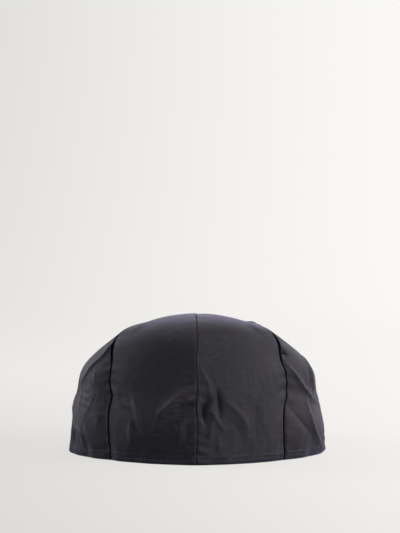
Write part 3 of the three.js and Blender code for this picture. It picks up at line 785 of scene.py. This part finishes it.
peak = make_peak()
peak.data.materials.append(waxed_cotton("peak_waxed_cotton", False))
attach(peak, "root")
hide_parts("peak")

# THE PEAK STITCHING
# A second row of the same thread, 4 mm in from the peak's outer edge, which keeps the two layers of
# cloth from creeping on the board.
PEAK_ROW_SUNK, PEAK_ROW_STEP = 0.2, 0.01


def peak_row(angle):
    """The spot where the row runs, at an angle round the peak."""
    width = peak_place(np.array(angle), np.array(0.5))[1]
    x, y = peak_place(np.array(angle), np.array(1 - PEAK_ROW_INSET / width))[0]
    return np.array([x, y, peak_top(x, y) - PEAK_ROW_SUNK])


ends, outward = [], []
angle = math.radians(PEAK_ROW_END)
while angle > math.radians(-PEAK_ROW_END):
    radian = np.linalg.norm(peak_row(angle - PEAK_ROW_STEP) - peak_row(angle)) / PEAK_ROW_STEP
    ends.append((peak_row(angle), peak_row(angle - STITCH_LENGTH / radian)))
    outward.append(np.array([0.0, 0.0, 1.0]))
    angle -= STITCH_PITCH / radian

peak_stitching = thread_stitches("peak_stitching", ends, outward)
peak_stitching.data.materials.append(navy_thread)
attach(peak_stitching, "root")

# THE BUTTON
# A small tin button covered with a disc of the cloth, gathered under its rim. It closes the point where
# the eight panels meet, and is sewn through them with a shank of thread.
BUTTON = {"radius": 8.6, "height": 3.8, "seat": 0.5, "hollow": 0.1}
BUTTON_GATHERS = {"count": 15, "depth": 0.03, "uneven": 0.7, "up_to": 0.55}
BUTTON_RUBBED = {"low": 0.4, "more": 0.35}
BUTTON_OUTLINE = {"out": [0, 0.6, 0.9, 1.0, 0.985, 0.9, 0.72, 0.45, 0.2, 0],
                  "up": [0.03, 0.0, 0.05, 0.26, 0.46, 0.68, 0.86, 0.96, 0.995, 1]}


def make_button():
    rings, sides = 40, 96
    share = np.linspace(0, 1, rings)[1:-1]
    out = smooth_curve(BUTTON_OUTLINE["out"], share)[:, None]
    up = smooth_curve(BUTTON_OUTLINE["up"], share)[:, None]
    angle = np.linspace(0, 2 * math.pi, sides, endpoint=False)[None, :]
    gather = np.sin(BUTTON_GATHERS["count"] * angle + BUTTON_GATHERS["uneven"] * np.sin(3 * angle))
    gather = BUTTON_GATHERS["depth"] * gather * (1 - ease(up / BUTTON_GATHERS["up_to"]))
    out = out * (1 + gather)
    seat, top = BUTTON["seat"], BUTTON["seat"] + BUTTON["height"]
    local = np.stack([out * np.cos(angle) * BUTTON["radius"], out * np.sin(angle) * BUTTON["radius"],
                      seat + (up + 0 * angle) * BUTTON["height"]], axis=-1).reshape(-1, 3)
    local = np.concatenate([local, [[0, 0, seat + BUTTON["hollow"]], [0, 0, top]]])
    back, front = crown_form(0, 1), crown_form(180, 1)
    slope = math.atan2(back[2] - front[2], back[1] - front[1])
    s, c = math.sin(slope), math.cos(slope)
    tilt = np.array([[1, 0, 0], [0, c, -s], [0, s, c]])
    points = local @ tilt.T + [0, (back[1] + front[1]) / 2, (back[2] + front[2]) / 2]
    at = np.arange((rings - 2) * sides).reshape(rings - 2, sides)
    ring = np.concatenate([at, at[:, :1]], axis=1)
    faces = grid_faces(ring, flip=True).tolist()
    base, crown = len(local) - 2, len(local) - 1
    faces += [[base, ring[0, j + 1], ring[0, j]] for j in range(sides)]
    faces += [[crown, ring[-1, j], ring[-1, j + 1]] for j in range(sides)]
    faces = [[int(v) for v in face] for face in faces]
    share_up = (local[:, 2] - seat) / BUTTON["height"]
    worn = np.clip(BUTTON_RUBBED["low"] + BUTTON_RUBBED["more"] * share_up, 0, 1)
    return cloth_piece("button_covered", points, faces, local[:, :2], worn)


button = make_button()
button.data.materials.append(waxed_cotton("button_waxed_cotton", False))
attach(button, "root")
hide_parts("button")

# THE TABLE AND THE WALL BEHIND IT
# Two lengths of pale warm paper, edge to edge: a flat one that the cap lies on, and one that curves up
# into the background. Both glow by themselves, so the cap throws only a faint shadow on them.
PAPER = {"half_width": 6.0, "near": 4.0, "fold": -0.8, "far": -3.5, "bend": 1.6, "height": 5.0}
TABLE_DIM, TABLE_BRIGHT = (0.571, 0.564, 0.543, 1), (0.871, 0.864, 0.838, 1)
WALL_DIM, WALL_BRIGHT = (0.617, 0.609, 0.585, 1), (0.925, 0.917, 0.89, 1)
PAPER_GREY = (0.12, 0.119, 0.117, 1)


def paper_sheet(name, outline):
    points = [(x, y, z) for y, z in outline for x in (-PAPER["half_width"], PAPER["half_width"])]
    faces = [(2 * i, 2 * i + 1, 2 * i + 3, 2 * i + 2) for i in range(len(outline) - 1)]
    mesh = bpy.data.meshes.new(name)
    mesh.from_pydata(points, [], faces)
    mesh.shade_smooth()
    sheet = bpy.data.objects.new(name, mesh)
    bpy.context.scene.collection.objects.link(sheet)
    return sheet


def pale_paper():
    """Matt paper that glows with painted light, paler towards the key light and a little darker close
    to the camera.
    """
    finish = Finish("pale_paper")
    body = finish.node("ShaderNodeTexCoord", output=3)
    x = finish.node("ShaderNodeSeparateXYZ", None, {0: body}, 0)
    y = finish.node("ShaderNodeSeparateXYZ", None, {0: body}, 1)
    near = y.between(-0.8, 0.9)
    fade = 0.55 - x * (1.0 + 2.0 * near) - 0.55 * near
    light = fade.between(-0.6, 1.3)
    on_table = finish.blend(light, TABLE_DIM, TABLE_BRIGHT)
    on_wall = finish.blend(light, WALL_DIM, WALL_BRIGHT)
    glow = finish.blend(y.between(-2.6, -0.3), on_wall, on_table)
    return finish.show(finish.node("ShaderNodeBsdfPrincipled", None, {
        "Base Color": PAPER_GREY, "Roughness": 0.9, "Specular IOR Level": 0.0,
        "Emission Color": glow, "Emission Strength": 1.0}))


rise_of_wall = [(PAPER["far"] + PAPER["bend"] * (1 - math.sin(angle)),
                 PAPER["bend"] * (1 - math.cos(angle))) for angle in np.radians(np.linspace(0, 90, 25))]
table = paper_sheet("table_paper", [(PAPER["near"], 0.0), (0.0, 0.0), (PAPER["fold"], 0.0)])
wall = paper_sheet("wall_paper", [(PAPER["fold"], 0.0), *rise_of_wall, (PAPER["far"], PAPER["height"])])
paper_finish = pale_paper()
for sheet in (table, wall):
    sheet.data.materials.append(paper_finish)
table.visible_glossy = False
table.visible_diffuse = False

# THE LIGHTS AND THE CAMERA
# Soft studio light from square lamps: two at the camera's right, one above it, a low one at its left,
# three beyond the cap that draw its edges, one overhead, and dim light from all round.
LAMPS = [
    {"name": "key", "at": (-1.41, 0.51, 0.85), "size": 0.8, "power": 9.5,
     "colour": (1, 0.97, 0.985)},
    {"name": "front_right", "at": (-1.19, 1.19, 0.29), "size": 0.8, "power": 14.5,
     "colour": (1, 0.97, 1)},
    {"name": "high", "at": (-0.29, 0.8, 1.52), "size": 0.8, "power": 3.5,
     "colour": (1, 0.97, 1)},
    {"name": "low_left", "at": (1.66, 0.29, 0.29), "size": 0.8, "power": 3.2,
     "colour": (0.96, 0.94, 1)},
    {"name": "edge_left", "at": (1.5, -0.45, 0.75), "size": 0.8, "power": 13,
     "colour": (0.93, 0.88, 1)},
    {"name": "edge_right", "at": (-1.45, -0.6, 0.6), "size": 0.8, "power": 8,
     "colour": (0.93, 0.88, 1)},
    {"name": "rim_left", "at": (1.14, -0.8, 1.03), "size": 0.8, "power": 3,
     "colour": (0.93, 0.88, 1)},
    {"name": "top", "at": (0, -0.4, 1.7), "size": 0.9, "power": 2.6,
     "colour": (0.96, 0.94, 1)},
]
AIMED_AT = Vector((0, 0, 0.05))
for lamp in LAMPS:
    light = bpy.data.lights.new(lamp["name"], "AREA")
    light.shape = "RECTANGLE"
    light.size = light.size_y = lamp["size"]
    light.energy = lamp["power"]
    light.color = lamp["colour"]
    hung = bpy.data.objects.new(lamp["name"], light)
    hung.location = lamp["at"]
    hung.rotation_euler = (AIMED_AT - hung.location).to_track_quat("-Z", "Y").to_euler()
    bpy.context.scene.collection.objects.link(hung)

world = bpy.data.worlds.new("studio_air")
world.use_nodes = True
air = world.node_tree.nodes["Background"].inputs
air["Color"].default_value = (0.94, 0.91, 1, 1)
air["Strength"].default_value = 0.155
bpy.context.scene.world = world
bpy.context.scene.view_settings.view_transform = "Standard"

PHOTO_HEIGHT, FOCAL_PIXELS = 533, 2077
SENSOR_HEIGHT = 36
CAMERA_PLACE, PITCH_DOWN = (-0.0022, 1.530, 0.172), 1.508
lens = bpy.data.cameras.new("camera")
lens.sensor_fit = "VERTICAL"
lens.sensor_height = SENSOR_HEIGHT
lens.lens = FOCAL_PIXELS * SENSOR_HEIGHT / PHOTO_HEIGHT
camera = bpy.data.objects.new("camera", lens)
camera.location = CAMERA_PLACE
camera.rotation_euler = (math.radians(90 - PITCH_DOWN), 0, math.pi)
bpy.context.scene.collection.objects.link(camera)
bpy.context.scene.camera = camera
